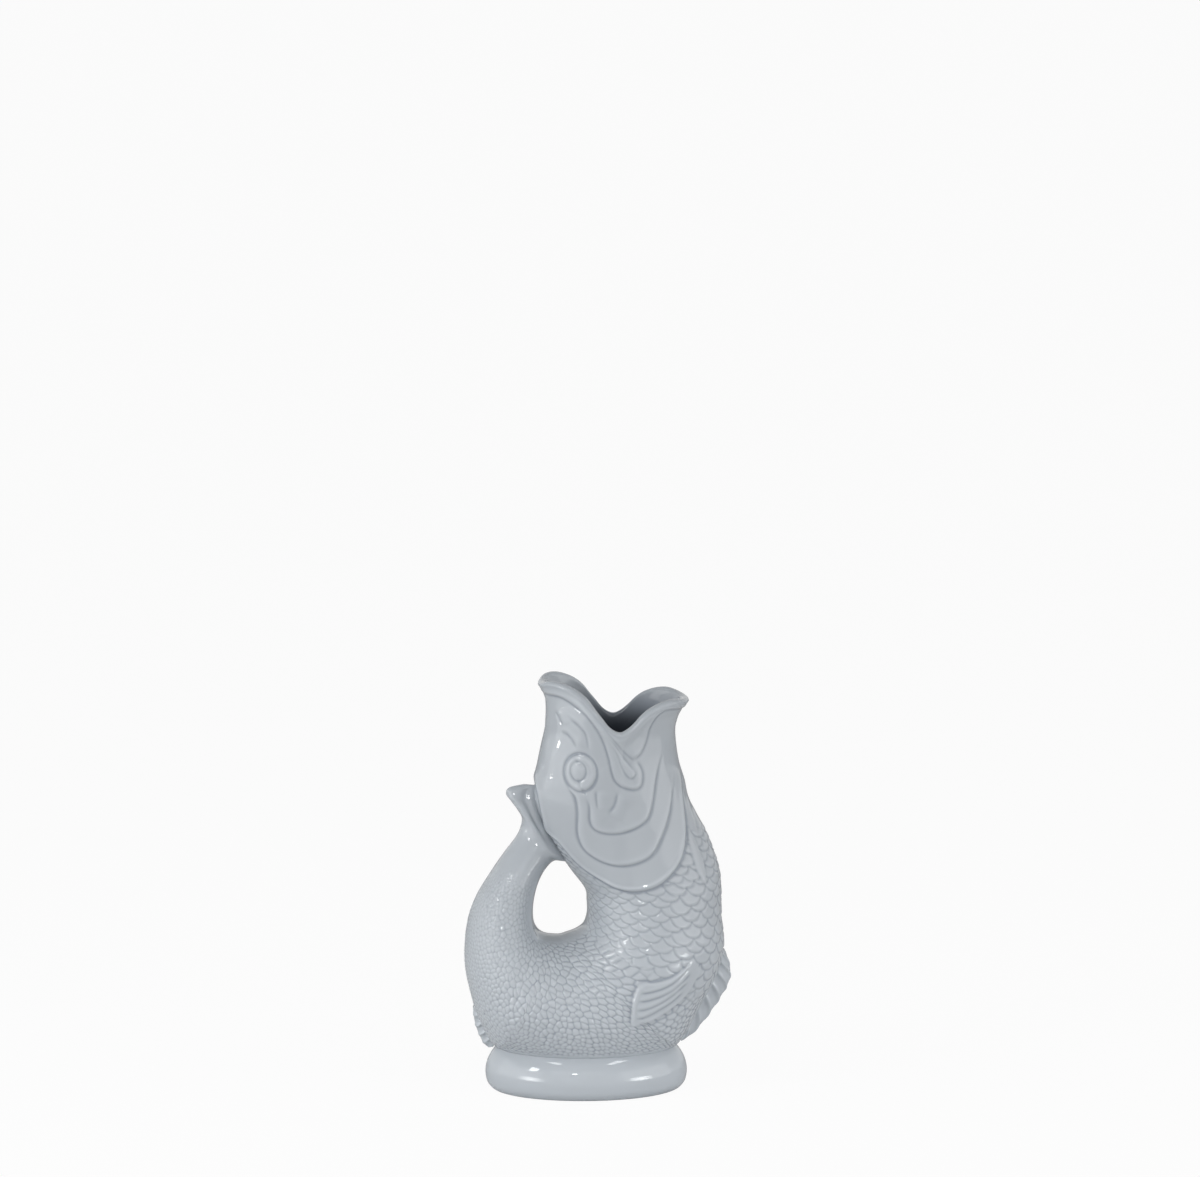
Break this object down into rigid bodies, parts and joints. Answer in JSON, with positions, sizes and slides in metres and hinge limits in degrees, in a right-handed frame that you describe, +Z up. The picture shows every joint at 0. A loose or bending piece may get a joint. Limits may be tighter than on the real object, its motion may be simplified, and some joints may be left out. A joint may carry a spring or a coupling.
{
  "type": "gurgle jug",
  "caption": "Fish-shaped glazed ceramic jug that stands on an oval foot, with an open mouth as the spout and a hollow curled tail as the handle.",
  "frame": {"origin": "on the table, under the middle of the jug's length", "axes": "+X from the tail to the throat, +Y from the near cheek to the far cheek, +Z up"},
  "size_m": [0.1538, 0.0996, 0.2399],
  "materials": {
    "body_glaze": "gloss",
    "relief_glaze": "gloss"
  },
  "bodies": {
    "root": {"foot": "body_glaze", "body_shell": "body_glaze", "head_shell": "body_glaze", "tail_handle": "body_glaze", "tail_fin": "relief_glaze", "gill_covers": "body_glaze", "eyes": "relief_glaze", "jaw_folds": "relief_glaze", "pectoral_fins": "relief_glaze", "throat_fins": "relief_glaze", "belly_fin": "relief_glaze", "rear_fin": "relief_glaze"}
  },
  "joints": []
}
